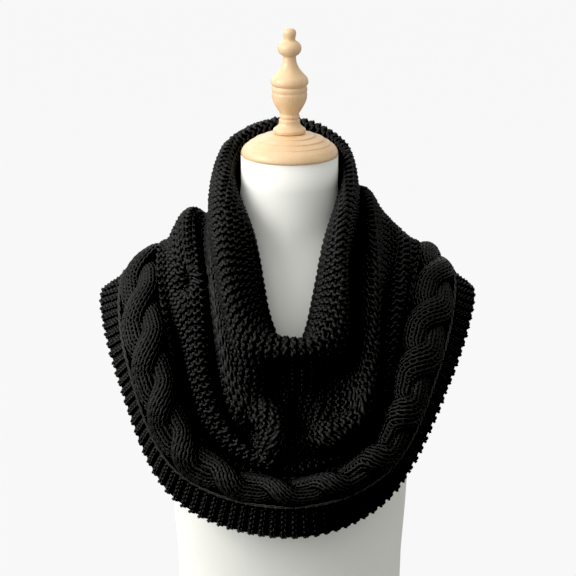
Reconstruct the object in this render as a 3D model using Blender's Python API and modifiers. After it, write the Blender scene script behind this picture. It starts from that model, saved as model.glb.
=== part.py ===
"""Hooded shawl on a dress form: a chunky knit shoulder cowl over a limbless torso with a turned wooden top.

The shawl is one tube of knit that goes round the neck. Its shape is given by closed rings, from the edge
tucked in at the neck to the hem, and each stretch of cloth is a wall lofted between some of them.
Metres, +Z up, front towards -Y. The origin is the middle of the flat base that the form stands on.
"""
import math

import bmesh
import bpy

MM = 0.001

# ---- the cloth -------------------------------------------------------------------------------------
CLOTH_THICK = 5.0 * MM  # chunky garter knit, measured through the ridges
SEAM_GAP = 0.3 * MM  # between two stretches of cloth
SEAM_GAPS = (SEAM_GAP / 2, 0.8 * MM, 1.6 * MM, 2.4 * MM)  # from the seam's plane to the first four wall steps
SECTIONS = 64  # wall sections round the neck
STEPS = 2  # wall steps between two rings
SQUASH = 0.7  # on the inside of a bend the wall reaches at most this part of the bend's radius
BEND_STEP = 0.1  # rings, for measuring a bend

# Each row is a ring round the neck, in mm. A centre column holds (y, z) on the middle plane, a side column
# holds (x, z) straight above the shoulder, a corner column holds (x, y, z) where the front turns, and a
# chest column holds x halfway between the two.
RINGS = (
    # name             front        left corner        chest  left side    back        right side  chest  right corner
    ("tucked edge",    (-112, 488), (-26, -98, 548),   -44,   (-66, 663),  (67, 684),  (66, 663),  44,    (24, -98, 548)),
    ("inner wall",     (-122, 513), (-29, -112, 568),  -46,   (-62, 690),  (67, 718),  (62, 690),  45,    (28, -112, 568)),
    ("rim crest",      (-143, 537), (-42, -130, 564),  -70,   (-76, 719),  (84, 750),  (69, 716),  60,    (40, -130, 567)),
    ("roll front",     (-163, 525), (-54, -146, 548),  -87,   (-91, 702),  (103, 737), (78, 698),  67,    (52, -143, 551)),
    ("roll underside", (-164, 503), (-61, -147, 526),  -93,   (-95, 678),  (108, 706), (81, 672),  67,    (60, -141, 526)),
    ("first groove",   (-138, 468), (-59, -134, 496),  -91,   (-97, 664),  (95, 677),  (89, 638),  73,    (70, -112, 492)),
    ("cowl crest",     (-158, 440), (-59, -148, 470),  -93,   (-100, 655), (114, 654), (101, 670), 98,    (82, -150, 463)),
    ("cowl lower",     (-170, 414), (-61, -148, 449),  -91,   (-102, 640), (118, 630), (114, 646), 103,   (90, -141, 446)),
    ("second groove",  (-160, 388), (-65, -129, 433),  -93,   (-106, 630), (103, 612), (124, 621.7), 108,   (96, -119, 429)),
    ("shoulder crest", (-155, 381), (-86, -137, 445),  -116,  (-118, 658), (120, 592), (134, 626), 117,   (98, -127, 424)),
    ("shoulder lower", (-153, 377), (-97, -134, 432),  -129,  (-133, 641), (124, 578), (140, 620), 124,   (98, -129, 419)),
    ("third groove",   (-151, 373), (-103, -123, 416), -137,  (-142, 620), (119, 562), (145, 614), 129,   (97, -124, 414)),
    ("cable inner",    (-156, 367), (-104, -135, 408), -146,  (-154, 614), (124, 546), (154, 617), 133,   (100, -135, 409)),
    ("cable crown",    (-175, 360), (-118, -157, 399), -168,  (-179, 600), (138, 524), (176, 607), 156,   (106, -157, 404)),
    ("cable outer",    (-178, 345), (-131, -145, 382), -189,  (-195, 579), (138, 497), (192, 584), 178,   (117, -145, 384)),
    ("hem edge",       (-174, 304), (-139, -124, 337), -202,  (-221, 549), (137, 457), (217, 553), 190,   (119, -125, 337)),
)
BLADE_REACH = 0.74  # sideways reach behind the shoulder, as a part of the side reach
BLADE_DEPTH = 0.70  # how far back that point lies, as a part of the back reach
BLADE_DROP = 0.60  # how far it has come from the side height to the back height
CHEST_DEPTH = 0.66  # how far forward the chest point lies, as a part of the corner
CHEST_RISE = 24  # mm above the mean height of corner and side
ROUNDING = 0.6  # from ring to ring: thick knit bends round a fold instead of creasing

# Each row is a smaller fold: a soft bump or dent round one place on the cloth.
FOLDS = (
    # name              turn    depth  half turn  half depth  push, mm
    ("front gap",       0.014,  6.7,   0.022,     1.10,       -20),
    ("left lobe",       0.965,  6.9,   0.024,     0.90,       5),
    ("right lobe",      0.052,  6.8,   0.024,     0.90,       5),
    ("left pit",        0.940,  8.1,   0.030,     0.80,       -4),
    ("roll sag",        0.010,  4.5,   0.030,     0.60,       4),
    ("shoulder dimple", 0.785,  9.3,   0.022,     1.10,       -6),
    ("blade fold",      0.585,  9.8,   0.030,     1.10,       8),
    ("blade dent",      0.540,  8.6,   0.026,     1.20,       -7),
    ("nape fold",       0.450,  7.2,   0.030,     1.00,       7),
    ("collar dent",     0.480,  3.8,   0.034,     1.00,       -6),
)

# Each stretch of cloth runs from one ring to another.
STRETCHES = (
    # node             from ring          to ring            colour
    ("collar_roll",    "tucked edge",     "first groove",    (0.012, 0.012, 0.013)),
    ("cowl_fold",      "first groove",    "second groove",   (0.011, 0.011, 0.012)),
    ("shoulder_fold",  "second groove",   "cable inner",     (0.012, 0.012, 0.013)),
    ("cable_band",     "cable inner",     "cable outer",     (0.015, 0.015, 0.016)),
    ("hem_border",     "cable outer",     "hem edge",        (0.012, 0.012, 0.013)),
)

# ---- the dress form --------------------------------------------------------------------------------
FORM_SECTIONS = 40
NECK_TOP = 722.5 * MM
# Each row is a level section of the torso, in mm: its height, half width, and reach to front and back. The
# last column says how square the section is, where 2 is an ellipse.
FORM_LEVELS = (
    # height  half   front  back   square
    (0,       148,   110,   114,   2.3),
    (4,       152,   114,   118,   2.3),
    (60,      151,   114,   122,   2.3),
    (120,     140,   104,   110,   2.3),
    (180,     132,   97,    96,    2.3),
    (240,     134,   102,   94,    2.3),
    (300,     139,   119,   98,    2.3),
    (350,     142,   130,   103,   2.3),
    (400,     146,   126,   108,   2.2),
    (450,     154,   112,   111,   2.1),
    (500,     167,   96,    110,   2.0),
    (540,     178,   82,    105,   1.8),
    (574,     179,   71,    97,    1.6),
    (597.3,   163,   62,    87,    1.5),
    (614.3,   134,   57,    78,    1.5),
    (629.3,   102,   56,    70,    1.5),
    (641,     75,    56,    63,    1.7),
    (656,     61,    56.5,  59,    2.0),
    (688,     57.5,  56,    57,    2.0),
    (722.5,   57.5,  56,    57.5,  2.0),
)

# ---- the turned wooden top -------------------------------------------------------------------------
WOOD_GAP = 0.3 * MM
CAP_STEPS = 40
FINIAL_STEPS = 28
# Both profiles list (radius, height) in mm down the outer side, from the axis at the top to the axis below.
CAP_PROFILE = (
    (0, 27.2), (19.0, 26.8), (24.0, 26.2), (30.4, 24.8), (31.4, 23.4), (40.4, 20.8), (41.4, 19.2),
    (48.2, 15.8), (49.0, 14.6), (53.6, 11.2), (56.4, 7.2), (57.5, 3.6), (57.3, 1.2), (56.3, 0), (0, 0),
)
FINIAL_PROFILE = (
    (0, 125.0), (4.5, 124.6), (7.0, 122.6), (7.8, 119.4), (7.4, 116.2), (6.9, 113.6), (7.2, 110.8),
    (11.0, 108.2), (13.4, 105.0), (14.1, 101.4), (13.3, 97.6), (10.8, 94.2), (7.9, 92.2), (7.8, 88.6),
    (9.0, 82.6), (12.2, 76.4), (17.0, 70.6), (20.8, 66.4), (22.3, 62.2), (21.8, 58.6), (19.8, 56.4),
    (20.8, 54.6), (21.0, 51.6), (20.4, 49.0), (20.9, 46.0), (20.0, 39.6), (17.2, 33.2), (13.6, 27.0),
    (11.0, 22.8), (12.0, 21.0), (11.9, 18.6), (11.0, 17.2), (12.5, 15.4), (12.4, 12.6), (13.4, 9.4),
    (16.6, 6.4), (19.0, 4.6), (19.3, 2.4), (18.4, 0), (0, 0),
)


def clear_scene():
    for thing in list(bpy.data.objects):
        bpy.data.objects.remove(thing, do_unlink=True)


def collection(name):
    group = bpy.data.collections.new(name)
    bpy.context.scene.collection.children.link(group)
    return group


def material(name, colour, roughness, metallic=0.0):
    mat = bpy.data.materials.new(name)
    mat.use_nodes = True
    shader = mat.node_tree.nodes["Principled BSDF"]
    shader.inputs["Base Color"].default_value = (*colour, 1.0)
    shader.inputs["Roughness"].default_value = roughness
    shader.inputs["Metallic"].default_value = metallic
    return mat


def add_object(name, mesh, mat, group):
    thing = bpy.data.objects.new(name, mesh)
    mesh.materials.append(mat)
    group.objects.link(thing)
    return thing


def smooth_through(before, start, end, after, part, rounding=0.0):
    """A point between start and end on a smooth curve. It runs through both (Catmull-Rom) when rounding is
    0, and cuts the bends (B-spline) as rounding goes to 1."""
    square = part * part
    cube = square * part
    through = (
        (-cube + 2 * square - part) / 2,
        (3 * cube - 5 * square + 2) / 2,
        (-3 * cube + 4 * square + part) / 2,
        (cube - square) / 2,
    )
    rounded = (
        (1 - part) ** 3 / 6,
        (3 * cube - 6 * square + 4) / 6,
        (-3 * cube + 3 * square + 3 * part + 1) / 6,
        cube / 6,
    )
    weights = [a + (b - a) * rounding for a, b in zip(through, rounded)]
    points = (before, start, end, after)
    return tuple(sum(w * p[axis] for w, p in zip(weights, points)) for axis in range(3))


def ring_points(index):
    """The ten points that a ring goes through, from the front round by the right side, in metres."""
    _, front, left_corner, left_chest, left_side, back, right_side, right_chest, right_corner = RINGS[index]

    def chest(corner, reach, side):
        return (reach, CHEST_DEPTH * corner[1], (corner[2] + side[1]) / 2 + CHEST_RISE)

    def blade(side):
        height = side[1] + BLADE_DROP * (back[1] - side[1])
        return (BLADE_REACH * side[0], BLADE_DEPTH * back[0], height)

    points = (
        (0, *front),
        right_corner,
        chest(right_corner, right_chest, right_side),
        (right_side[0], 0, right_side[1]),
        blade(right_side),
        (0, *back),
        blade(left_side),
        (left_side[0], 0, left_side[1]),
        chest(left_corner, left_chest, left_side),
        left_corner,
    )
    return [tuple(value * MM for value in point) for point in points]


RING_NAMES = [row[0] for row in RINGS]
RING_POINTS = [ring_points(index) for index in range(len(RINGS))]


def on_ring(index, turn):
    """The point of one ring at a turn from 0 to 1 round the neck, 0 being the middle of the front."""
    points = RING_POINTS[index]
    place = (turn % 1.0) * len(points)
    first = int(place)
    near = [points[(first + step) % len(points)] for step in (-1, 0, 1, 2)]
    return smooth_through(*near, place - first)


def on_rings(turn, depth):
    """The point at a turn and a depth, where depth counts rings from the tucked edge."""
    last = len(RINGS) - 1
    first = min(max(int(depth), 0), last - 1)
    start = on_ring(first, turn)
    end = on_ring(first + 1, turn)
    straight_back = tuple(2 * a - b for a, b in zip(start, end))
    straight_on = tuple(2 * b - a for a, b in zip(start, end))
    before = on_ring(first - 1, turn) if first > 0 else straight_back
    after = on_ring(first + 2, turn) if first + 2 <= last else straight_on
    return smooth_through(before, start, end, after, depth - first, ROUNDING)


def cross(a, b):
    return (a[1] * b[2] - a[2] * b[1], a[2] * b[0] - a[0] * b[2], a[0] * b[1] - a[1] * b[0])


def unit(vector):
    size = math.hypot(*vector)
    return tuple(value / size for value in vector)


def frame_of(surface, turn, depth):
    """A point of a surface, its outward normal, and the direction square to the ring, towards the hem."""
    small = 1e-3
    low = max(depth - small, 0)
    high = min(depth + small, len(RINGS) - 1)
    across = [b - a for a, b in zip(surface(turn - small, depth), surface(turn + small, depth))]
    down = [b - a for a, b in zip(surface(turn, low), surface(turn, high))]
    normal = unit(cross(down, across))
    return surface(turn, depth), normal, unit(cross(across, normal))


def fold_push(turn, depth):
    """How far the smaller folds move the cloth along its normal, in metres."""
    push = 0
    for _, at_turn, at_depth, half_turn, half_depth, height in FOLDS:
        away = (turn - at_turn + 0.5) % 1.0 - 0.5
        push += height * MM * math.exp(-((away / half_turn) ** 2) - ((depth - at_depth) / half_depth) ** 2)
    return push


def on_cloth(turn, depth):
    """The middle of the cloth at a turn and a depth, with its smaller folds."""
    here, normal, _ = frame_of(on_rings, turn, depth)
    push = fold_push(turn, depth)
    return tuple(p + n * push for p, n in zip(here, normal))


def cloth_frame(turn, depth):
    return frame_of(on_cloth, turn, depth)


def wall_halves(turn, depth):
    """How far the wall reaches out and in from the middle: less on the inside of a tight bend."""
    one, one_normal, _ = cloth_frame(turn, depth - BEND_STEP)
    two, two_normal, _ = cloth_frame(turn, depth + BEND_STEP)
    along = [b - a for a, b in zip(one, two)]
    turned = [b - a for a, b in zip(one_normal, two_normal)]
    bend = sum(a * b for a, b in zip(along, turned)) / sum(a * a for a in along)
    half = CLOTH_THICK / 2
    squashed = min(half, SQUASH / max(abs(bend), 1e-6))
    return (half, squashed) if bend > 0 else (squashed, half)


def keep_behind(points, place, inward):
    """Move the points nearest to a seam back behind its plane, so that two walls meet there and go no further."""
    for i, (point, gap) in enumerate(zip(points, SEAM_GAPS)):
        ahead = gap - sum((p - c) * d for p, c, d in zip(point, place, inward))
        if ahead > 0:
            points[i] = [p + d * ahead for p, d in zip(point, inward)]


def wall_section(turn, start, end):
    """The closed outline of the wall at one turn: down its outer face and back up its inner face."""
    count = STEPS * (end - start)
    outer = []
    inner = []
    for step in range(count + 1):
        depth = start + step / STEPS
        here, normal, _ = cloth_frame(turn, depth)
        reach_out, reach_in = wall_halves(turn, min(max(depth, BEND_STEP), len(RINGS) - 1 - BEND_STEP))
        outer.append([p + n * reach_out for p, n in zip(here, normal)])
        inner.append([p - n * reach_in for p, n in zip(here, normal)])
    for seam, side in ((start, 1), (end, -1)):
        if 0 < seam < len(RINGS) - 1:
            place, _, along = cloth_frame(turn, seam)
            inward = [side * value for value in along]
            for face in (outer, inner):
                nearest = face[::side]
                keep_behind(nearest, place, inward)
                face[:] = nearest[::side]
    return outer + inner[::-1]


def loft(name, sections, closed_loop):
    """A mesh lofted through outlines with the same number of points, each outline a closed one."""
    bm = bmesh.new()
    rows = [[bm.verts.new(point) for point in outline] for outline in sections]
    count = len(rows[0])
    pairs = list(zip(rows, rows[1:]))
    if closed_loop:
        pairs.append((rows[-1], rows[0]))
    else:
        bm.faces.new(rows[0])
        bm.faces.new(rows[-1])
    for one, two in pairs:
        for i in range(count):
            j = (i + 1) % count
            bm.faces.new((one[i], one[j], two[j], two[i]))
    bmesh.ops.triangulate(bm, faces=bm.faces, quad_method="SHORT_EDGE")
    bmesh.ops.recalc_face_normals(bm, faces=bm.faces)
    mesh = bpy.data.meshes.new(name)
    bm.to_mesh(mesh)
    bm.free()
    mesh.shade_smooth()
    mesh.set_sharp_from_angle(angle=math.radians(40))
    return mesh


def make_stretch(group, name, start_ring, end_ring, colour):
    start = RING_NAMES.index(start_ring)
    end = RING_NAMES.index(end_ring)
    sections = [wall_section(i / SECTIONS, start, end) for i in range(SECTIONS)]
    mat = material(name + "_knit", colour, roughness=0.9)
    return add_object(name, loft(name, sections, closed_loop=True), mat, group)


def form_section(height, half, front, back, square):
    """A level, rounded section of the torso."""
    points = []
    for i in range(FORM_SECTIONS):
        angle = 2 * math.pi * i / FORM_SECTIONS
        wide = math.copysign(abs(math.sin(angle)) ** (2 / square), math.sin(angle))
        deep = math.copysign(abs(math.cos(angle)) ** (2 / square), math.cos(angle))
        reach = front if deep > 0 else back
        points.append((wide * half * MM, -deep * reach * MM, height * MM))
    return points


def make_form(group):
    sections = [form_section(*row) for row in FORM_LEVELS]
    mat = material("form_cover", (0.86, 0.86, 0.85), roughness=0.8)
    return add_object("dress_form", loft("dress_form", sections, closed_loop=False), mat, group)


def make_turned(group, name, profile, base, steps, mat):
    """A turned piece: its profile, down the outer side, is spun round the vertical axis."""
    mesh = bpy.data.meshes.new(name)
    points = [(radius * MM, 0, height * MM) for radius, height in profile]
    mesh.from_pydata(points, [(i, i + 1) for i in range(len(points) - 1)], [])
    thing = add_object(name, mesh, mat, group)
    thing.location = (0, 0, base)
    screw = thing.modifiers.new("turn", "SCREW")
    screw.steps = steps
    screw.render_steps = steps
    screw.use_merge_vertices = True
    screw.merge_threshold = 0.0001
    return thing


def build():
    clear_scene()
    parts = collection("hooded_shawl_on_dress_form")
    for row in STRETCHES:
        make_stretch(parts, *row)
    make_form(parts)
    wood = material("turned_beech", (0.87, 0.60, 0.36), roughness=0.45)
    cap_base = NECK_TOP + WOOD_GAP
    cap_height = CAP_PROFILE[0][1] * MM
    make_turned(parts, "neck_cap", CAP_PROFILE, cap_base, CAP_STEPS, wood)
    make_turned(parts, "finial", FINIAL_PROFILE, cap_base + cap_height + WOOD_GAP, FINIAL_STEPS, wood)


build()
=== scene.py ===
# %% [markdown]
# # Hooded shawl on a dress form
# The piece is a chunky black knit cowl that is pulled over the head and rests on both shoulders. It was
# knitted sideways, so its garter ridges run from the neck to the hem, with a rope cable just inside the
# border. Here it is built as real knitting: one cloth sheet for each stretch, painted near black as shade,
# and over it every loop of yarn as a thin tube that hooks into its neighbours. The imported part comes first,
# because its solids fix where each piece goes.

# %% Load the imported part and keep its box
import math

import bpy
import numpy as np
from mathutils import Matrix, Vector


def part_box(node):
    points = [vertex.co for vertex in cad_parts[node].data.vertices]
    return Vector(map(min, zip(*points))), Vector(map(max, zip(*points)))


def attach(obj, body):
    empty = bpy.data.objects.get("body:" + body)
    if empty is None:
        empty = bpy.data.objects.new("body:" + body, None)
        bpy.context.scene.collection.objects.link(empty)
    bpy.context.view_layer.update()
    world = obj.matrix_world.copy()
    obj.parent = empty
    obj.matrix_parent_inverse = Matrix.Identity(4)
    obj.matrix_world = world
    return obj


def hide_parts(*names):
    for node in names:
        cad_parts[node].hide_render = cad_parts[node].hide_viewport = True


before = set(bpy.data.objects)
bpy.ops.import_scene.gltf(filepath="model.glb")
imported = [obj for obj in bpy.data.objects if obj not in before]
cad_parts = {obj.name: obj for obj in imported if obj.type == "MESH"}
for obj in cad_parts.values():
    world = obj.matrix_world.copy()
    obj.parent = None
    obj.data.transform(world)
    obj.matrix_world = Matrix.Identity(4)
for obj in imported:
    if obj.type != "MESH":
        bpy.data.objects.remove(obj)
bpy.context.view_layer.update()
MM = 0.001
print("parts:", sorted(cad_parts))

# %% [markdown]
# The knit hangs in folds, so its shape is given by sixteen closed rings round the neck, from the edge that is
# tucked in at the throat down to the hem. Rings are easy to read and to correct: moving one moves a fold. The
# part's own solids were lofted through nearly the same rings, so the yarn lies close to them. The points on
# the chest and the shoulder blades are mostly worked out from their neighbours.

# %% The rings of the cloth
# Each row is a ring, in millimetres, with left as the viewer's left. Front and back hold (y, z), a side holds
# (x, z), a corner, where the front turns, holds (x, y, z), and a chest column holds its x alone.
RINGS = (
    # front       left corner        chest left side    back        right side chest right corner
    # the edge that is tucked in at the throat
    ((-112, 488), (-26, -98, 548),   -44,  (-70, 663),  (67, 684),  (70, 664),  44,  (22, -100, 532)),
    ((-122, 513), (-28, -113, 556),  -46,  (-66, 690),  (67, 718),  (66, 690),  45,  (26, -114, 544)),
    # the rim of the roll
    ((-143, 537), (-39, -132, 553),  -70,  (-76, 719),  (84, 750),  (69, 716),  60,  (35, -133, 545)),
    ((-157, 521), (-53, -146, 548),  -81,  (-86, 702),  (103, 737), (75, 698),  63,  (52, -143, 551)),
    ((-129, 503), (-55, -146, 524),  -83,  (-90, 678),  (108, 706), (78, 672),  63,  (60, -141, 526)),
    # the first groove, and the second fold under it
    ((-119, 464), (-55, -137, 496),  -81,  (-88, 652),  (95, 677),  (89, 641),  73,  (68, -102, 487)),
    ((-156, 440), (-59, -148, 470),  -86,  (-88, 646),  (114, 654), (91, 677),  98,  (82, -150, 463)),
    ((-170, 414), (-61, -148, 449),  -87,  (-94, 640),  (118, 630), (107, 647), 103, (90, -141, 446)),
    # the second groove, and the third fold
    ((-154, 388), (-67, -119, 429),  -93,  (-107, 637), (103, 612), (125, 628), 108, (96, -113, 427)),
    ((-155, 381), (-86, -137, 445),  -106, (-118, 654), (120, 592), (132, 623), 117, (98, -127, 424)),
    ((-153, 377), (-97, -134, 432),  -124, (-132, 637), (124, 578), (138, 618), 124, (98, -129, 419)),
    # the third groove
    ((-145, 373), (-101, -112, 413), -135, (-140, 615), (119, 562), (145, 613), 129, (96, -115, 412)),
    # the cable, from its inner edge by its middle to its outer edge
    ((-156, 367), (-104, -135, 408), -146, (-153, 610), (124, 546), (153, 611), 133, (100, -135, 409)),
    ((-175, 360), (-118, -157, 399), -168, (-176, 591), (138, 524), (173, 597), 156, (106, -157, 404)),
    ((-178, 345), (-131, -145, 382), -189, (-192, 576), (138, 497), (189, 580), 178, (117, -145, 384)),
    # the edge of the hem
    ((-174, 304), (-135, -123, 337), -200, (-221, 556), (137, 457), (217, 558), 189, (115, -124, 337)),
)
LAST_RING = len(RINGS) - 1
print("rings:", len(RINGS))

# %% The ten points of each ring
CHEST_DEPTH = 0.66  # the chest's y, as a part of the corner's
CHEST_RISE = 24  # how far the chest lies above the middle of corner and side, in mm
BLADE_REACH, BLADE_DEPTH = 0.74, 0.70  # the shoulder blade's x, as a part of the side's, and y, of the back's
BLADE_DROP = 0.60  # how far its height has gone from the side's to the back's


def ring_points(row):
    """The ten points of one ring, from the front round by the right side, in metres."""
    front, left_corner, left_chest, left_side, back, right_side, right_chest, right_corner = row

    def chest(corner, across, side):
        return (across, CHEST_DEPTH * corner[1], (corner[2] + side[1]) / 2 + CHEST_RISE)

    def blade(side):
        return (BLADE_REACH * side[0], BLADE_DEPTH * back[0], side[1] + BLADE_DROP * (back[1] - side[1]))

    points = (
        (0, *front),
        right_corner,
        chest(right_corner, right_chest, right_side),
        (right_side[0], 0, right_side[1]),
        blade(right_side),
        (0, *back),
        blade(left_side),
        (left_side[0], 0, left_side[1]),
        chest(left_corner, left_chest, left_side),
        left_corner,
    )
    return np.array(points) * MM


ring_table = np.array([ring_points(row) for row in RINGS])
RING_POINTS = ring_table.shape[1]
print("points in a ring:", RING_POINTS, "hem width %.0f mm" % (np.ptp(ring_table[-1, :, 0]) / MM))

# %% [markdown]
# Sixteen rings give the large folds. The small ones, such as the two lobes that meet in the middle of the
# front, could be more rings, but those would run all the way round. They are soft bumps and hollows instead,
# which push the sheet out or in where they lie and nowhere else.

# %% The smaller folds
# Each row is a bump or a hollow: the part of the way round (0 in front, then by the right side) and the ring
# where it lies, its half size in both, and how far it pushes the sheet out, in millimetres.
FOLDS = (
    (0.014, 6.5, 0.019, 1.20, -37),  # gap in the middle of the front
    (0.020, 4.4, 0.020, 0.80, 3),    # sag of the roll above it
    (0.957, 5.9, 0.016, 0.60, 8),    # left lobe, where it comes down from the roll
    (0.976, 6.6, 0.012, 0.80, 11),   # its middle
    (0.972, 8.3, 0.014, 0.80, 13),   # where it runs into the third fold
    (0.929, 7.2, 0.017, 0.80, -23),  # pit beside it
    (0.968, 4.7, 0.020, 0.80, -9),   # pocket between it and the roll
    (0.048, 6.9, 0.018, 0.50, 10),   # right lobe, which slants up
    (0.082, 6.6, 0.020, 0.60, 7),    # its far end
    (0.052, 5.5, 0.030, 0.60, -11),  # steep hollow above it
    (0.078, 6.0, 0.028, 0.40, -12),  # the same, further out
    (0.062, 5.0, 0.026, 0.70, -5),   # pocket between it and the roll
    (0.072, 7.9, 0.022, 0.60, -10),  # hollow under it
    (0.080, 9.6, 0.030, 0.80, -6),   # the same, on the third fold
    (0.776, 9.7, 0.011, 0.42, -22),  # dimple on the left shoulder
    (0.785, 8.7, 0.030, 0.35, 4),    # its rim towards the neck
    (0.800, 10.2, 0.020, 0.50, 4),   # its rim in front
    (0.850, 11.0, 0.050, 0.70, -6),  # gap beside the cable on the left
    (0.190, 9.6, 0.060, 0.80, 10),   # third fold on the right
    (0.585, 9.8, 0.030, 1.10, 8),    # folds behind, out
    (0.450, 7.2, 0.030, 1.00, 7),
    (0.540, 8.6, 0.026, 1.20, -7),   # and in
    (0.480, 3.8, 0.034, 1.00, -6),
)
print("smaller folds:", len(FOLDS))

# %% [markdown]
# A smooth sheet through the rings is worked out once, on a fine grid of turns round the neck and depths down
# the cloth. Every piece of the knit then asks this grid where it is, which is much faster than working the
# curves out again for each of its points. Round the neck the curve goes through every point. Down the cloth
# it is rounder than that, because thick knit bends round a fold instead of creasing.

# %% Curves between the rings
ROUNDING = 0.6
TINY = 1e-12  # keeps the length of a direction from being zero


def curve_weights(part, rounding):
    """Weights of four neighbouring points: Catmull-Rom at rounding 0, B-spline at 1."""
    square, cube = part**2, part**3
    through = np.array([
        -cube + 2 * square - part,
        3 * cube - 5 * square + 2,
        -3 * cube + 4 * square + part,
        cube - square,
    ]) / 2
    rounded = np.array([
        (1 - part) ** 3,
        3 * cube - 6 * square + 4,
        -3 * cube + 3 * square + 3 * part + 1,
        cube,
    ]) / 6
    return through + (rounded - through) * rounding


def unit(vectors):
    return vectors / np.maximum(np.linalg.norm(vectors, axis=-1, keepdims=True), TINY)


def normals_of(points):
    """The outward normals of a grid of points that closes round the neck."""
    down = np.gradient(points, axis=1)
    across = np.roll(points, -1, axis=0) - np.roll(points, 1, axis=0)
    return unit(np.cross(down, across))


print("weights halfway:", curve_weights(np.float64(0.5), ROUNDING).round(3))

# %% The sheet as a fine grid
TURN_CELLS = 1440
RING_CELLS = 24  # between two rings
turns = np.arange(TURN_CELLS) / TURN_CELLS
depths = np.linspace(0, LAST_RING, LAST_RING * RING_CELLS + 1)
place = turns * RING_POINTS
first = place.astype(int)
weights = curve_weights(place - first, rounding=0.0)
rings = sum(weights[k][None, :, None] * ring_table[:, (first + k - 1) % RING_POINTS] for k in range(4))
rings = np.concatenate([2 * rings[:1] - rings[1:2], rings, 2 * rings[-1:] - rings[-2:-1]])
first = np.minimum(depths.astype(int), LAST_RING - 1)
weights = curve_weights(depths - first, ROUNDING)
cloth = sum(weights[k][None, :, None] * rings[first + k].transpose(1, 0, 2) for k in range(4))
push = np.zeros(cloth.shape[:2])
for at_turn, at_ring, half_turn, half_ring, height in FOLDS:
    away = (turns[:, None] - at_turn + 0.5) % 1.0 - 0.5
    push += height * MM * np.exp(-((away / half_turn) ** 2) - ((depths[None] - at_ring) / half_ring) ** 2)
cloth = cloth + normals_of(cloth) * push[..., None]


def closed(table):
    """A table with its first turn once more at its end."""
    return np.concatenate([table, table[:1]])


cloth_table, normal_table = closed(cloth), closed(normals_of(cloth))
print("cloth grid:", cloth.shape[:2], "pushed %.0f to %.0f mm" % (push.min() / MM, push.max() / MM))

# %% Read the grid between its cells
JUST_OVER_ONE = 1.000001  # keeps the cell after the one that is read inside the table


def look_up(table, row, column):
    """Reads a table between its cells."""
    row = np.clip(row, 0, table.shape[0] - JUST_OVER_ONE)
    column = np.clip(column, 0, table.shape[1] - JUST_OVER_ONE)
    top, left = row.astype(int), column.astype(int)
    down, right = row - top, column - left
    if table.ndim == 3:
        down, right = down[..., None], right[..., None]
    return (
        table[top, left] * (1 - down) * (1 - right)
        + table[top + 1, left] * down * (1 - right)
        + table[top, left + 1] * (1 - down) * right
        + table[top + 1, left + 1] * down * right
    )


def cells_between(start, end):
    """The columns of the grid from one ring to another."""
    return slice(start * RING_CELLS, end * RING_CELLS + 1)


def lengths_along(points, axis):
    """The length of cloth from the first point of each line of a grid to every other."""
    steps = np.linalg.norm(np.diff(points, axis=axis), axis=2)
    return np.concatenate([0 * np.take(steps, [0], axis=axis), np.cumsum(steps, axis=axis)], axis=axis)


around, downward = lengths_along(cloth_table, 0), lengths_along(cloth_table, 1)
girth = around[-1]
print("round the rim %.0f mm, round the hem %.0f mm" % (girth[2 * RING_CELLS] / MM, girth[-1] / MM))

# %% [markdown]
# Knitting keeps its stitches the same size, so a row or a stitch is placed by the real length of cloth
# before it and not by a ring number. Two tables turn those lengths back into places on the sheet.

# %% Even spacing round the neck and down the cloth
STRETCHES = {"body": (0, 12), "cable": (12, 14), "hem": (14, 15)}  # from ring, to ring
SHARES = 256  # equal steps down each stretch
SETTLE = 3  # the turn and the depth depend on each other a little, so they are found in a few rounds
# at the sides the rows slide towards the back: (ring, how far, as a part of the way round)
SLIDES = ((0, 0), (2, 0), (4, 0.026), (5.5, 0.026), (8, 0), (14, 0), (15, 0.011))
whole_way = np.linspace(0, 1, TURN_CELLS + 1)
turn_at = [np.interp(whole_way, around[:, d] / girth[d], whole_way) for d in range(len(depths))]
slide = np.interp(depths, *zip(*SLIDES))
turn_at = np.stack(turn_at, axis=1) + slide[None] * np.sin(2 * math.pi * whole_way)[:, None]
depth_at, reach_of = {}, {}
for stretch, (start, end) in STRETCHES.items():
    cells = cells_between(start, end)
    lengths = downward[:, cells] - downward[:, cells][:, :1]
    reach_of[stretch] = lengths[:, -1]
    even = np.linspace(0, 1, SHARES + 1)
    depth_at[stretch] = np.stack([np.interp(even, row / row[-1], depths[cells]) for row in lengths])
    print(stretch, "%.0f to %.0f mm deep" % (lengths[:, -1].min() / MM, lengths[:, -1].max() / MM))


def on_sheet(part, stretch, share, lift):
    """The point at a part of the way round and a share of the way down a stretch, lifted off the sheet, and
    the sheet's normal there."""
    part = part % 1.0
    turn = part
    for _ in range(SETTLE):
        depth = look_up(depth_at[stretch], turn * TURN_CELLS, share * SHARES)
        turn = look_up(turn_at, part * TURN_CELLS, depth * RING_CELLS)
    row, column = turn * TURN_CELLS, depth * RING_CELLS
    normal = look_up(normal_table, row, column)
    return look_up(cloth_table, row, column) + normal * np.asarray(lift)[..., None], normal


# %% [markdown]
# The knitting pattern. The hem counts 120 garter ridges of two rows each, and the roll at the neck only 90:
# every fourth ridge is a short one that ends in a groove, which is how a knitter shapes a cowl. Where a short
# ridge ends, its neighbours close up over five stitches.

# %% Rows and stitches
ROWS = 240
BODY_STITCHES = 33
HEM_STITCHES = 6
SHORT_EVERY, SHORT_ROWS = 8, 2  # of every eight rows, the last two are a short ridge
CLOSE_UP = 5.0  # stitches
LEAST_ROOM = 0.25  # of a full row; with less, a short row isn't there yet
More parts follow.
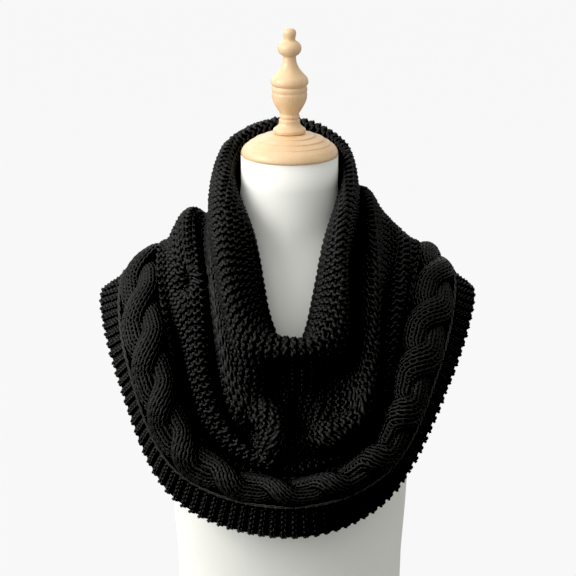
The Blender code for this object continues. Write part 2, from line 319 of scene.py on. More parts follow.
# where the short ridges end, in stitches from the tucked edge: (part of the way round, stitches)
SHORT_ENDS = ((0, 18.2), (0.1, 17), (0.3, 17.4), (0.5, 17), (0.62, 18), (0.72, 17), (0.88, 15.6), (1, 18.2))
FINE = 8  # table cells in a stitch
row_number = np.arange(ROWS)
short = row_number % SHORT_EVERY >= SHORT_EVERY - SHORT_ROWS
end_of = np.interp(row_number / ROWS, *zip(*SHORT_ENDS))
stitch_axis = np.arange(BODY_STITCHES * FINE + 1) / FINE
opening = np.clip((stitch_axis[None] - end_of[:, None]) / CLOSE_UP, 0, 1)
room = np.where(short[:, None], opening**2 * (3 - 2 * opening), 1.0)
before = np.concatenate([np.zeros((1, room.shape[1])), np.cumsum(room, axis=0)])
centre = (before[:-1] + room / 2) / before[-1]
there = room > LEAST_ROOM


def gap_to(step):
    """How far each row is from the next one that is really there, up or down. Past a short ridge, that is
    the third row on."""
    gap = np.zeros_like(centre)
    for hop in (1 + SHORT_ROWS, 1):
        shifted = np.roll(centre, -hop * step, axis=0)
        distance = (shifted - centre) * step % 1.0
        found = np.roll(there, -hop * step, axis=0)
        gap = np.where(found | (hop > 1), distance, gap)
    return gap


gap_up, gap_down = gap_to(1), gap_to(-1)
print("ridges at the hem", ROWS // 2, "and in the roll", int((~short).sum()) // 2)

# %% [markdown]
# One stitch is one loop of yarn. Seen flat, the yarn of a row is a wave whose heads and feet are wider than
# its necks, and it dives in front of and behind its neighbours: three times a stitch in garter, where every
# other row is turned over, and twice in smooth stocking stitch. One formula gives the flat shape of both.

# %% The shape of a loop
# places along one loop, from foot to foot
GARTER_ANGLES = np.radians((-180, -142, -112, -68, -38, 0, 38, 68, 112, 142))
SMOOTH_ANGLES = np.radians((-180, -144, -98, -50, 0, 50, 98, 144))
# how far the yarn comes to the front, in dives, at angles from the head (0) to the foot (180)
FRONT_AT = np.radians((0, 38, 68, 112, 142, 180))
FRONT = (1.5, 0.5, -1.0, 0.8, -0.8, -1.2)
GARTER_WIDE, SMOOTH_WIDE = 0.82, 1.45  # how much wider the heads are than the necks
LOOP_HALF = 0.93  # half a loop's height, in rows


def wave(count, angles, wide):
    """Angles, places in stitches and stitch numbers along a run of stitches."""
    angle = np.concatenate([np.tile(angles, count), angles[:1]])
    number = np.concatenate([np.repeat(np.arange(count), len(angles)), [count]])
    along = number + 0.5 + (angle + wide * np.sin(2 * angle)) / (2 * math.pi)
    return angle, along, number


print("points in one loop: garter %d, smooth %d" % (len(GARTER_ANGLES), len(SMOOTH_ANGLES)))

# %% One row of garter stitch
GARTER_DIVE = {"body": 1.5 * MM, "hem": 2.3 * MM}
# how high the ridges stand: (stitches, mm)
RIDGE_RISES = {
    "body": ((0, 3, 6, 9, 12, 17, 23, 33), (0.6, 0.6, 1.7, 1.7, 1.4, 1.5, 1.5, 1.4)),
    "hem": ((0, 6), (2.4, 2.4)),
}
RIDGE_FLAT = {"body": 0.6, "hem": 1.5}  # under 1, a ridge has a broad top and steep sides
YARN = {"body": 2.7 * MM, "hem": 2.1 * MM}  # radius; the hem is worked a little tighter
OUTWARD = {"body": 0.9 * MM, "hem": 0.2 * MM}  # the loops stand a little outside the sheet's middle
DEEPEST = {"body": -1.3 * MM, "hem": -3.5 * MM}  # behind the sheet, the yarn's middle goes no deeper
UNEVEN_HEIGHT, UNEVEN_LIFT = 0.05, 0.12 * MM  # hand knitting: no two loops are quite alike
rng = np.random.default_rng(7)


def garter_run(row, stretch, start, end, stitches):
    """The yarn of one garter row from stitch start to stitch end."""
    angle, along, number = wave(end - start, GARTER_ANGLES, GARTER_WIDE)
    along = along + start
    last = centre.shape[1] - 1
    column = np.clip(along * FINE, 0, last) if stretch == "body" else np.full(len(along), float(last))
    low = np.floor(column).astype(int)
    high = np.minimum(low + 1, last)

    def read(table):
        return table[row, low] + (table[row, high] - table[row, low]) * (column - low)

    wobble = rng.normal(0, UNEVEN_HEIGHT, end - start + 1)[number]
    height = LOOP_HALF * (1 + wobble) * np.cos(angle)
    part = read(centre) + height * np.where(height > 0, read(gap_up), read(gap_down))
    front = np.interp(np.abs(angle) if row % 2 == 0 else math.pi - np.abs(angle), FRONT_AT, FRONT)
    ridge = np.cos(math.pi * (row + height - 0.5))
    rise = np.interp(along, *RIDGE_RISES[stretch]) * MM
    lift = GARTER_DIVE[stretch] * front + rise * np.sign(ridge) * np.abs(ridge) ** RIDGE_FLAT[stretch]
    lift = lift + OUTWARD[stretch] + rng.normal(0, UNEVEN_LIFT, end - start + 1)[number]
    return on_sheet(part, stretch, along / stitches, np.maximum(lift, DEEPEST[stretch]))


sample, _ = garter_run(40, "hem", 0, HEM_STITCHES, HEM_STITCHES)
print("yarn in one hem row: %.0f mm" % (np.linalg.norm(np.diff(sample, axis=0), axis=1).sum() / MM))

# %% [markdown]
# Tubes of yarn. A curve object with a bevel would do for a few runs, but there are more than a thousand, so
# the tubes are worked out as arrays. Four sides are round enough for yarn this thin once it is shaded smooth.
# Two sets of texture coordinates go with each tube: one in real lengths along the yarn and turns round it,
# for its twist, and one that packs all runs side by side.

# %% Turn arrays into a mesh
def grid_faces(rows, columns, closed_rows=False):
    """The row, the column and the four corners of every face of a grid whose columns close round."""
    rows_used = np.arange(rows if closed_rows else rows - 1)
    row, column = np.meshgrid(rows_used, np.arange(columns), indexing="ij")
    row, column = row.ravel(), column.ravel()
    here, onward, beside = row * columns, (row + 1) % rows * columns, (column + 1) % columns
    return row, column, np.stack([here + column, here + beside, onward + beside, onward + column], 1)


def mesh_piece(name, corners, faces, stuff, coordinates):
    """An object from arrays of corners and four-sided faces, with named texture coordinates."""
    mesh = bpy.data.meshes.new(name)
    mesh.vertices.add(len(corners))
    mesh.vertices.foreach_set("co", corners.astype(np.float32).ravel())
    mesh.loops.add(faces.size)
    mesh.loops.foreach_set("vertex_index", faces.astype(np.int32).ravel())
    mesh.polygons.add(len(faces))
    mesh.polygons.foreach_set("loop_start", np.arange(0, faces.size, 4, dtype=np.int32))
    mesh.update(calc_edges=True)
    for layer, values in coordinates.items():
        mesh.uv_layers.new(name=layer).data.foreach_set("uv", values.astype(np.float32).ravel())
    mesh.polygons.foreach_set("use_smooth", np.ones(len(faces), dtype=bool))
    mesh.validate()
    mesh.materials.append(stuff)
    thing = bpy.data.objects.new(name, mesh)
    bpy.context.scene.collection.objects.link(thing)
    return thing


print("faces round a tube of 5 rings with 4 sides:", len(grid_faces(5, 4)[2]))

# %% Turn runs of points into tubes of yarn
SIDES = 4
LANE_GAP = 0.05  # between packed runs, as a part of a run's own lane


def tube_piece(name, runs, radius, stuff, flat=1.0):
    """One object with a tube along each run, which is a pair of points and normals. A flat tube is thinner
    along the normals."""
    corners, faces, twist_uv, packed_uv, offset = [], [], [], [], 0
    turn = 2 * math.pi * np.arange(SIDES) / SIDES
    for lane, (points, normals) in enumerate(runs):
        step = unit(np.gradient(points, axis=0))
        side = unit(np.cross(step, normals))
        up = np.cross(side, step)
        ring = np.cos(turn)[None, :, None] * side[:, None] + flat * np.sin(turn)[None, :, None] * up[:, None]
        corners.append((points[:, None] + radius * ring).reshape(-1, 3))
        station, flank, walls = grid_faces(len(points), SIDES)
        caps = np.array([np.arange(SIDES)[::-1], np.arange(SIDES) + (len(points) - 1) * SIDES])
        faces.append(np.concatenate([walls, caps]) + offset)
        offset += len(points) * SIDES
        length = np.concatenate([[0], np.cumsum(np.linalg.norm(np.diff(points, axis=0), axis=1))])
        near, far = length[station], length[station + 1]
        left, right = flank / SIDES, (flank + 1) / SIDES
        pairs = ((near, left), (near, right), (far, right), (far, left))
        uv = np.stack([np.stack(pair, 1) for pair in pairs], 1)
        cap_uv = np.zeros((2, SIDES, 2))
        twist_uv.append(np.concatenate([uv, cap_uv]))
        across = lane + LANE_GAP + (1 - 2 * LANE_GAP) * uv[..., 1]
        packed = np.stack([uv[..., 0] / length[-1], across / len(runs)], -1)
        packed_uv.append(np.concatenate([packed, cap_uv + [0, (lane + 0.5) / len(runs)]]))
    piece = mesh_piece(name, np.concatenate(corners), np.concatenate(faces), stuff,
                       {"twist": np.concatenate(twist_uv), "OFBake": np.concatenate(packed_uv)})
    print(name, len(runs), "runs,", len(piece.data.polygons) * 2, "triangles")
    return piece


# %% [markdown]
# Materials are node graphs. One function adds a node, sets what it is given and links what it is handed, and
# one turns the hex colours that people write into the linear values that a renderer works with.

# %% Colours and nodes
def linear(code):
    """An sRGB hex colour as linear red, green, blue and alpha."""
    values = [int(code[i : i + 2], 16) / 255 for i in (1, 3, 5)]
    return (*[v / 12.92 if v <= 0.04045 else ((v + 0.055) / 1.055) ** 2.4 for v in values], 1.0)


def add_node(tree, kind, inputs=None, **settings):
    """A node, such as Math, with its settings. Each input is given a value or another node's socket."""
    made = tree.nodes.new("ShaderNode" + kind)
    for name, value in settings.items():
        setattr(made, name, value)
    for name, value in (inputs or {}).items():
        if isinstance(value, bpy.types.NodeSocket):
            tree.links.new(value, made.inputs[name])
        else:
            made.inputs[name].default_value = value
    return made


def new_material(name, **values):
    """A material, its node tree and its shader, with values for the shader's own sockets."""
    made = bpy.data.materials.new(name)
    made.use_nodes = True
    shader = made.node_tree.nodes["Principled BSDF"]
    for socket, value in values.items():
        shader.inputs[socket.replace("_", " ")].default_value = value
    return made, made.node_tree, shader


def link_finish(tree, shader, colour, relief):
    """Links a mix of colours and a bump to a shader."""
    tree.links.new(colour.outputs[2], shader.inputs["Base Color"])
    tree.links.new(relief.outputs[0], shader.inputs["Normal"])


print("mid grey #808080 is %.3f in linear light" % linear("#808080")[0])

# %% [markdown]
# The yarn is a soft acrylic and wool blend, dyed black and spun from four plies. Dyed fibres are never quite
# black, and the loose ones on the surface catch light at a grazing angle, which is what sheen is for. The
# twist of the plies shows as fine slanting grooves, drawn in the coordinates that run along the yarn. Real
# fibres are hundredths of a millimetre thick, far too fine to see from here, so the fuzz is drawn coarser.

# %% Black plied yarn
PLY_TURN = 11 * MM  # one full twist
PLIES = 4
PLY_SHARE = 0.35  # how deep the grooves between plies are, beside the fuzz
YARN_RELIEF = 0.5 * MM  # the height of the relief, in full
FUZZ_PER_MM, DYE_PER_MM = 0.9, 0.32  # tufts of fuzz, and patches that took more or less dye


def plied_yarn(name, dark, light, groove):
    """A black yarn between two colours; groove is how strongly its relief shows."""
    made, tree, shader = new_material(
        name, Roughness=0.5, IOR=1.5, Specular_IOR_Level=0.27,
        Sheen_Weight=0.02, Sheen_Roughness=0.4, Sheen_Tint=linear("#8b8b90"))
    along = add_node(tree, "UVMap", uv_map="twist")
    split = add_node(tree, "SeparateXYZ", {0: along.outputs[0]})
    turned = add_node(tree, "Math", {0: split.outputs[0], 1: PLIES / PLY_TURN}, operation="MULTIPLY")
    slanted = add_node(tree, "Math", {0: split.outputs[1], 1: float(PLIES), 2: turned.outputs[0]},
                       operation="MULTIPLY_ADD")
    angle = add_node(tree, "Math", {0: slanted.outputs[0], 1: 2 * math.pi}, operation="MULTIPLY")
    ply = add_node(tree, "Math", {0: angle.outputs[0]}, operation="COSINE")
    where = add_node(tree, "TexCoord").outputs["Object"]
    fuzz = add_node(tree, "TexNoise", {"Vector": where, "Scale": FUZZ_PER_MM / MM, "Detail": 3.0})
    dye = add_node(tree, "TexNoise", {"Vector": where, "Scale": DYE_PER_MM / MM, "Detail": 3.0})
    colour = add_node(tree, "Mix", {0: dye.outputs[0], 6: linear(dark), 7: linear(light)}, data_type="RGBA")
    relief = add_node(tree, "Math", {0: ply.outputs[0], 1: PLY_SHARE, 2: fuzz.outputs[0]},
                      operation="MULTIPLY_ADD")
    bump = add_node(tree, "Bump", {"Strength": groove, "Distance": YARN_RELIEF, "Height": relief.outputs[0]})
    link_finish(tree, shader, colour, bump)
    return made


garter_yarn = plied_yarn("black_plied_yarn_garter", "#111110", "#242423", 0.35)
# the hem's copy of the same yarn is painted darker: painted shade on the border
hem_shade_yarn = plied_yarn("plied_yarn_hem_painted_shade", "#0d0d0c", "#1b1b1a", 0.35)
# the cable's copy of the same yarn is painted darker: painted shade on the strands
cable_yarn = plied_yarn("plied_yarn_smooth_painted_shade", "#0f0f0e", "#1e1e1d", 0.45)
# the chain's copy of the same yarn is painted lighter: a painted highlight along the chain
chain_highlight_yarn = plied_yarn("plied_yarn_chain_painted_highlight", "#232321", "#383835", 0.4)
print("yarn materials:", [made.name for made in (garter_yarn, hem_shade_yarn, cable_yarn, chain_highlight_yarn)])

# %% [markdown]
# Between the loops one sees more yarn, deeper in. A thin sheet under the loops stands for it and closes the
# knit, so that no light comes through. There is one for each stretch of the garment, and each takes the place
# of that stretch's plain solid. It is a closed wall made from the same grid, in a rough finish. Its colour is
# painted shade: it stands for the same black yarn, but is drawn nearly black, darker than the loops, because
# little light comes back out from between them.

# %% Knit ground, painted in shade
GROUND_PER_MM = 0.26  # stitches of the layer behind, seen dimly
knit_ground, tree, shader = new_material("knit_sheet_painted_shade", Roughness=1.0, Specular_IOR_Level=0.2)
where = add_node(tree, "TexCoord").outputs["Object"]
noise = add_node(tree, "TexNoise", {"Vector": where, "Scale": GROUND_PER_MM / MM}).outputs[0]
# painted shade: the yarn deeper in is drawn nearly black, darker than the loops' own colour
colour = add_node(tree, "Mix", {0: noise, 6: linear("#020202"), 7: linear("#060606")}, data_type="RGBA")
bump = add_node(tree, "Bump", {"Strength": 0.5, "Distance": 1 * MM, "Height": noise})
link_finish(tree, shader, colour, bump)
print("ground material:", knit_ground.name)

# %% The cloth sheets
SHEET_THICK = 1.6 * MM
SHEET_SUNK = 1.6 * MM  # it lies this far behind the middle of the knit
SHEET_STATIONS = 240
SHEET_STEPS = 6  # between two rings
SHEETS = (
    # name            from ring, to ring, replaces, rests on
    ("collar_cloth", 0, 5, "collar_roll", "dress_form"),
    ("cowl_cloth", 5, 8, "cowl_fold", "dress_form"),
    ("shoulder_cloth", 8, 12, "shoulder_fold", "dress_form"),
    ("cable_cloth", 12, 14, "cable_band", "shoulder_cloth"),
    ("hem_cloth", 14, 15, "hem_border", "cable_cloth"),
)


def sheet_piece(name, start, end):
    """A closed thin wall between two rings."""
    turn = np.arange(SHEET_STATIONS) / SHEET_STATIONS
    depth = np.linspace(start, end, (end - start) * SHEET_STEPS + 1)
    turn, depth = np.meshgrid(turn, depth, indexing="ij")
    normal = look_up(normal_table, turn * TURN_CELLS, depth * RING_CELLS)
    middle = look_up(cloth_table, turn * TURN_CELLS, depth * RING_CELLS) - normal * SHEET_SUNK
    outer, inner = middle + normal * SHEET_THICK / 2, middle - normal * SHEET_THICK / 2
    outline = np.concatenate([outer, inner[:, ::-1]], axis=1)
    _, _, faces = grid_faces(SHEET_STATIONS, outline.shape[1], closed_rows=True)
    return mesh_piece(name, outline.reshape(-1, 3), faces, knit_ground, {})


def area_between(start, end):
    """The area of the sheet between two rings."""
    part = cloth_table[:, cells_between(start, end)]
    across = np.diff(part, axis=0)[:, :-1]
    down = np.diff(part, axis=1)[:-1]
    return np.linalg.norm(np.cross(across, down), axis=2).sum()


sheets = {}
for name, start, end, node, _ in SHEETS:
    sheets[name] = sheet_piece(name, start, end)
    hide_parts(node)
    mean_girth = girth[cells_between(start, end)].mean()
    print(name, "area %.4f m2, mean girth %.3f m" % (area_between(start, end), mean_girth))

# %% [markdown]
# The garter of the body is one piece of yarn for each stretch. The roll has too many loops for one mesh, so
# its inner and outer halves are two pieces. Each piece ends at a whole stitch, found row by row, because the
# grooves between the stretches don't follow the stitches exactly.

# %% Garter loops of the roll and the folds
RIM_STITCH = 9  # where the roll turns over
SHORT_CLEAR = 1.3  # stitches between the groove where a short ridge ends and its first loop


def stitch_of(ring):
    """For each row, the number of the stitch that lies at a ring."""
    reach = downward[:, ring * RING_CELLS] / downward[:, STRETCHES["body"][1] * RING_CELLS]
    shares = np.interp(row_number / ROWS, np.arange(TURN_CELLS + 1) / TURN_CELLS, reach)
    return np.round(shares * BODY_STITCHES).astype(int)


first_groove, second_groove = stitch_of(5), stitch_of(8)
rim = np.full(ROWS, RIM_STITCH)
tucked_edge, cable_edge = np.zeros(ROWS, int), np.full(ROWS, BODY_STITCHES)
starts = np.where(short, np.ceil(end_of + SHORT_CLEAR).astype(int), 0)
BODY_PIECES = (
    ("roll_inner_yarn", "collar_cloth", tucked_edge, rim),
    ("roll_outer_yarn", "collar_cloth", rim, first_groove),
    ("cowl_yarn", "cowl_cloth", first_groove, second_groove),
    ("shoulder_yarn", "shoulder_cloth", second_groove, cable_edge),
)
yarn = {}
with_sheet = {name: [] for name in sheets}
for name, sheet, low, high in BODY_PIECES:
    begins = np.maximum(low, starts)
    runs = [garter_run(row, "body", begins[row], high[row], BODY_STITCHES)
            for row in range(ROWS) if high[row] > begins[row]]
    yarn[name] = tube_piece(name, runs, YARN["body"], garter_yarn)
    with_sheet[sheet].append(yarn[name])

# %% [markdown]
# The border is the same garter stitch, six stitches wide, which keeps the hem from curling. It is worked
# tighter than the body, and its ridges stand higher. Its yarn is painted darker than the body's, as shade.

# %% Garter loops of the hem
runs = [garter_run(row, "hem", 0, HEM_STITCHES, HEM_STITCHES) for row in range(ROWS)]
yarn["hem_yarn"] = tube_piece("hem_yarn", runs, YARN["hem"], hem_shade_yarn)
with_sheet["hem_cloth"].append(yarn["hem_yarn"])

# %% [markdown]
# The rope cable is two strands of four smooth columns that cross 21 times round the garment, always the same
# way, so the rope seems to twist. Each strand follows its own path over the band: it swings from one side to
# the other, rises where it passes over and sinks where it passes under. Its rows stay square to that path.
# Its yarn is painted darker than the garter's, as shade.

# %% Sizes of the cable
STRAND_STITCHES = 4
CROSSINGS = 21
CROSS_EVERY = ROWS / CROSSINGS  # rows
CROSS_AT = 8.6  # row of the first crossing
CROSS_HALF = 0.40  # half the length of a crossing, as a part of the distance between two
RISE_HALF = 0.75  # half the length over which a strand rises, in half crossings
STRAND_SWING, STRAND_HALF = 0.25, 0.275  # of the band's width
STRAND_NARROWS = 0.12  # how much narrower a strand is where it slants most
STRAND_ROUND = 6.0 * MM  # how high its middle stands over its edges
STRAND_CROWN = 2.4  # 2 is a round crown, and more is flatter on top
STRAND_LIFT = 5.0 * MM  # how far it rises where it passes over
SINK_SHARE = 0.8  # and how much of that it sinks where it passes under
STRAND_BASE = 1.2 * MM
SMOOTH_HALF = 0.92  # half a loop's height, in rows
SMOOTH_DIVE = 0.5 * MM
SMOOTH_YARN = 2.6 * MM
SMOOTH_FLAT = 0.7  # the yarn's thickness, as a part of its width
UNEVEN_SMOOTH = 0.04
CABLE_MIDDLE = 13  # ring
row_height = girth[CABLE_MIDDLE * RING_CELLS] / ROWS
print("cable: %.1f rows between crossings, %.1f mm each" % (CROSS_EVERY, row_height / MM))


# %% The path of a strand
def band_width(row):
    """The width of the cable's band at a row."""
    return np.interp(row / ROWS * TURN_CELLS, np.arange(TURN_CELLS + 1), reach_of["cable"])


def strand_path(row, strand):
    """Where a strand is at a row: across the band from -1 to 1, its slope, and its lift from -1 to 1."""
    phase = (row - CROSS_AT) / CROSS_EVERY + strand
    number = np.round(phase)
    near = (phase - number) / CROSS_HALF
    step = np.clip(near, -1, 1)
    sign = np.where(number % 2 == 0, 1, -1)
    across = sign * np.sin(math.pi / 2 * step)
    slope = sign * np.cos(math.pi / 2 * step) * (np.abs(near) < 1) * math.pi / 2 / CROSS_HALF / CROSS_EVERY
    return across, slope, sign * np.exp(-((near / RISE_HALF) ** 2))


print("band at the front: %.0f mm wide" % (band_width(0) / MM))


# %% Knit the two strands
def cable_run(row, strand):
    """The yarn of one row of one strand."""
    angle, along, number = wave(STRAND_STITCHES, SMOOTH_ANGLES, SMOOTH_WIDE)
    across, slope, over = strand_path(np.float64(row), strand)
    width = band_width(row)
    tilt = math.atan(slope * STRAND_SWING * width / row_height)
    half = STRAND_HALF * width
    side = (along / STRAND_STITCHES * 2 - 1) * half * (1 - STRAND_NARROWS * abs(math.sin(tilt)))
    uneven = 1 + rng.normal(0, UNEVEN_SMOOTH, STRAND_STITCHES + 1)[number]
    forward = SMOOTH_HALF * row_height * np.cos(angle) * uneven
    rows_on = (forward * math.cos(tilt) - side * math.sin(tilt)) / row_height
    share = 0.5 + across * STRAND_SWING + (side * math.cos(tilt) + forward * math.sin(tilt)) / width
    edge = np.clip(side / half, -1, 1)
    lift = STRAND_ROUND * (1 - np.abs(edge) ** STRAND_CROWN)
    lift = lift + STRAND_LIFT * over * (1 if over > 0 else SINK_SHARE)
    lift = lift - SMOOTH_DIVE * np.cos(2 * angle) + STRAND_BASE
    return on_sheet((row + 0.5 + rows_on) / ROWS, "cable", share, lift)


runs = [cable_run(row, strand) for strand in (0, 1) for row in range(ROWS)]
yarn["cable_yarn"] = tube_piece("cable_yarn", runs, SMOOTH_YARN, cable_yarn, flat=SMOOTH_FLAT)
with_sheet["cable_cloth"].append(yarn["cable_yarn"])

# %% [markdown]
# A chain of slipped stitches runs along the cable's outer side, with one link for every ridge. A link is a
# teardrop of thinner yarn that starts inside the one before it, and it lies on top of the other loops. Its
# yarn is painted lighter than the rest, as a highlight along the chain.

# %% The chain beside the cable
CHAIN_HALF = 1.8 * MM  # half a link's width
CHAIN_YARN = 1.4 * MM
LINK_HALF = 1.45  # half a link's length, in rows
LINK_TEAR = 0.35  # how much wider it is towards its head, and narrower towards its foot
CHAIN_LIFT, LINK_DIP = 6.2 * MM, 0.8 * MM  # over the sheet, and how far the head sinks and the foot rises
LINK_ANGLES = np.linspace(0, 2 * math.pi, 11)


def chain_link(number):
    """One link: a teardrop that starts in the link before it."""
    row = number * 2 + 0.5
    swell = 1 - LINK_TEAR * np.cos(LINK_ANGLES)
    share = 1.0 + CHAIN_HALF * np.sin(LINK_ANGLES) * swell / band_width(row)
    rows_on = -LINK_HALF * np.cos(LINK_ANGLES)
    return on_sheet((row + rows_on) / ROWS, "cable", share, CHAIN_LIFT + LINK_DIP * np.cos(LINK_ANGLES))


runs = [chain_link(number) for number in range(ROWS // 2)]
yarn["cable_chain"] = tube_piece("cable_chain", runs, CHAIN_YARN, chain_highlight_yarn)
with_sheet["cable_cloth"].append(yarn["cable_chain"])

# %% [markdown]
# At the outer edge of the border the yarn turns back from one row into the next. Those turns make the bumpy
# edge of the hem, and each is half an oval that lies on the sheet.

# %% The turned edge of the hem
TURN_REACH = 0.09  # how far a turn stands past the last stitch, as a part of the border's width
TURN_ANGLES = np.linspace(0, math.pi, 7)


def turned_edge(row):
    """The yarn's turn from one row into the next."""
    part = centre[row, -1] + gap_up[row, -1] * (1 - np.cos(TURN_ANGLES)) / 2
    share = 1.0 + TURN_REACH * np.sin(TURN_ANGLES)
    return on_sheet(part, "hem", share, np.full(len(TURN_ANGLES), OUTWARD["hem"]))


runs = [turned_edge(row) for row in range(0, ROWS, 2)]
yarn["hem_turns"] = tube_piece("hem_turns", runs, YARN["hem"], hem_shade_yarn)
with_sheet["hem_cloth"].append(yarn["hem_turns"])

# %% [markdown]
# Under the shawl stands a limbless torso covered in white jersey, with a turned beech cap and finial. Jersey
# is a very fine knit. Its columns are under a millimetre apart, which is too fine to see from here, so it is
# drawn as an even grain in the relief, with faint broad patches in the colour.

# %% White jersey
JERSEY_PER_MM, PATCHES_PER_MM = 0.9, 0.009
form_jersey, tree, shader = new_material(
    "white_jersey_cover", Roughness=0.85, Sheen_Weight=0.2, Sheen_Roughness=0.5)
where = add_node(tree, "TexCoord").outputs["Object"]
soft = add_node(tree, "TexNoise", {"Vector": where, "Scale": PATCHES_PER_MM / MM, "Detail": 3.0})
grain = add_node(tree, "TexNoise", {"Vector": where, "Scale": JERSEY_PER_MM / MM})
colour = add_node(
    tree, "Mix", {0: soft.outputs[0], 6: linear("#f0f0e8"), 7: linear("#f9f9f2")}, data_type="RGBA")
bump = add_node(tree, "Bump", {"Strength": 0.15, "Distance": 0.3 * MM, "Height": grain.outputs[0]})
link_finish(tree, shader, colour, bump)
print("cover material:", form_jersey.name)

# %% [markdown]
# The torso is a smoother copy of the part's own solid: the same stack of level sections, with more points in
# each. A section has a half width, a reach to the front and one to the back, and a power that says how
# square it is. Such a table is easier to read and to correct than a sculpted shape.

# %% Level sections of the torso
# Sizes are in millimetres. A power of 2 gives an ellipse, and more squares it.
FORM_LEVELS = (
    # height, half width, front, back, power
    (0, 148, 110, 114, 2.3),
    (4, 152, 114, 118, 2.3),
    (60, 151, 114, 122, 2.3),
    (120, 140, 104, 110, 2.3),
    (180, 132, 97, 96, 2.3),
    (240, 134, 102, 94, 2.3),
    (300, 139, 119, 98, 2.3),
    (350, 142, 130, 103, 2.3),
    (400, 146, 126, 108, 2.2),
    (450, 154, 112, 111, 2.1),
    (500, 167, 96, 110, 2.0),
    (540, 178, 82, 105, 1.8),
    (574, 179, 71, 97, 1.6),
    (597.3, 163, 62, 87, 1.5),
    (614.3, 134, 57, 78, 1.5),
    (629.3, 102, 56, 70, 1.5),
    (641, 75, 56, 63, 1.7),
    (656, 61, 56.5, 59, 2.0),
    (688, 57.5, 56, 57, 2.0),
    (722.5, 57.5, 56, 57.5, 2.0),
)
print("torso: %d levels up to %.0f mm" % (len(FORM_LEVELS), FORM_LEVELS[-1][0]))

# %% Stack the sections into a torso
FORM_AROUND = 128


def signed_power(value, power):
    return np.sign(value) * np.abs(value) ** power


def level_section(height, half, front, back, power):
    """One level ring of the torso."""
    angle = 2 * math.pi * np.arange(FORM_AROUND) / FORM_AROUND
    wide, deep = signed_power(np.sin(angle), 2 / power), signed_power(np.cos(angle), 2 / power)
    reach = np.where(deep > 0, front, back)
    return np.stack([wide * half, -deep * reach, np.full(FORM_AROUND, height)], 1) * MM


def close_top_and_bottom(rows, count):
    """Fans of faces that close a stack of level rings. Each spans two steps, so it has four sides."""
    bottom, top, last = rows * count, rows * count + 1, (rows - 1) * count
    faces = []
    for i in range(0, count, 2):
        following = (i + 2) % count
        faces.append((bottom, following, i + 1, i))
        faces.append((top, last + i, last + i + 1, last + following))
    return faces


body_rings = np.concatenate([level_section(*level) for level in FORM_LEVELS])
corners = np.concatenate([body_rings, [[0, 0, 0], [0, 0, FORM_LEVELS[-1][0] * MM]]])
_, _, walls = grid_faces(len(FORM_LEVELS), FORM_AROUND)
faces = np.concatenate([walls, close_top_and_bottom(len(FORM_LEVELS), FORM_AROUND)])
torso = mesh_piece("torso", corners, faces, form_jersey, {})
print("torso", len(torso.data.polygons), "faces")

# %% [markdown]
# Beech is a pale, even wood with short brown flecks. It was turned on a lathe and rubbed with a satin
# varnish. The grain runs up the axis, so the pattern is stretched along it. A thin coat over the wood gives
# the soft highlight of the varnish.

# %% Satin beech
GRAIN_STRETCH = 0.12  # the pattern's scale along the grain, beside its scale across
BANDS_PER_MM, FLECKS_PER_MM = 0.06, 0.7
FLECKS_FROM, FLECKS_TO, FLECK_DARK = 0.60, 0.72, 0.35  # only the noise's peaks are flecks, and none is opaque
beech, tree, shader = new_material(
    "satin_turned_beech", Roughness=0.38, IOR=1.5, Coat_Weight=0.25, Coat_Roughness=0.3)
where = add_node(tree, "TexCoord").outputs["Object"]
grain = add_node(tree, "Mapping", {"Vector": where, "Scale": (1.0, 1.0, GRAIN_STRETCH)}).outputs[0]
bands = add_node(
    tree, "TexNoise", {"Vector": grain, "Scale": BANDS_PER_MM / MM, "Detail": 5.0, "Distortion": 0.4})
flecks = add_node(tree, "TexNoise", {"Vector": grain, "Scale": FLECKS_PER_MM / MM, "Detail": 2.0})
wood = add_node(
    tree, "Mix", {0: bands.outputs[0], 6: linear("#e3b98a"), 7: linear("#f3d5ab")}, data_type="RGBA")
mask = add_node(tree, "MapRange", {0: flecks.outputs[0], 1: FLECKS_FROM, 2: FLECKS_TO, 3: 0.0, 4: FLECK_DARK})
colour = add_node(
    tree, "Mix", {0: mask.outputs[0], 6: wood.outputs[2], 7: linear("#b98550")}, data_type="RGBA")
bump = add_node(tree, "Bump", {"Strength": 0.08, "Distance": 0.2 * MM, "Height": flecks.outputs[0]})
link_finish(tree, shader, colour, bump)
print("wood material:", beech.name)

# %% [markdown]
# Cap and finial are turned pieces: a profile of (radius, height) points, rounded a little and spun round the
# axis. Blender's Screw modifier does the spinning, and its result is kept as a plain mesh.

# %% Profiles of the cap and the finial
# Both profiles are in millimetres, from the top of the axis down to the seat.
CAP_PROFILE = (
    (0, 27.2), (19.0, 26.8), (24.0, 26.2), (30.4, 24.8), (31.4, 23.4), (40.4, 20.8), (41.4, 19.2),
    (48.2, 15.8), (49.0, 14.6), (53.6, 11.2), (56.4, 7.2), (57.5, 3.6), (57.3, 1.2), (56.3, 0), (0, 0),
)
FINIAL_PROFILE = (
    (0, 125.0), (4.5, 124.6), (7.0, 122.6), (7.8, 119.4), (7.4, 116.2), (6.9, 113.6), (7.2, 110.8),
    (11.0, 108.2), (13.4, 105.0), (14.1, 101.4), (13.3, 97.6), (10.8, 94.2), (7.9, 92.2), (7.8, 88.6),
    (9.0, 82.6), (12.2, 76.4), (17.0, 70.6), (20.8, 66.4), (22.3, 62.2), (21.8, 58.6), (19.8, 56.4),
    (20.8, 54.6), (21.0, 51.6), (20.4, 49.0), (20.9, 46.0), (20.0, 39.6), (17.2, 33.2), (13.6, 27.0),
    (11.0, 22.8), (12.0, 21.0), (11.9, 18.6), (11.0, 17.2), (12.5, 15.4), (12.4, 12.6), (13.4, 9.4),
    (16.6, 6.4), (19.0, 4.6), (19.3, 2.4), (18.4, 0), (0, 0),
)
print("points in the profiles:", len(CAP_PROFILE), len(FINIAL_PROFILE))

# %% Round the profiles
BETWEEN = (1 / 3, 2 / 3, 1.0)  # two points are added between every two of the profile's own
STRAIGHT_SPANS = 2  # the last spans, at the seat, stay straight


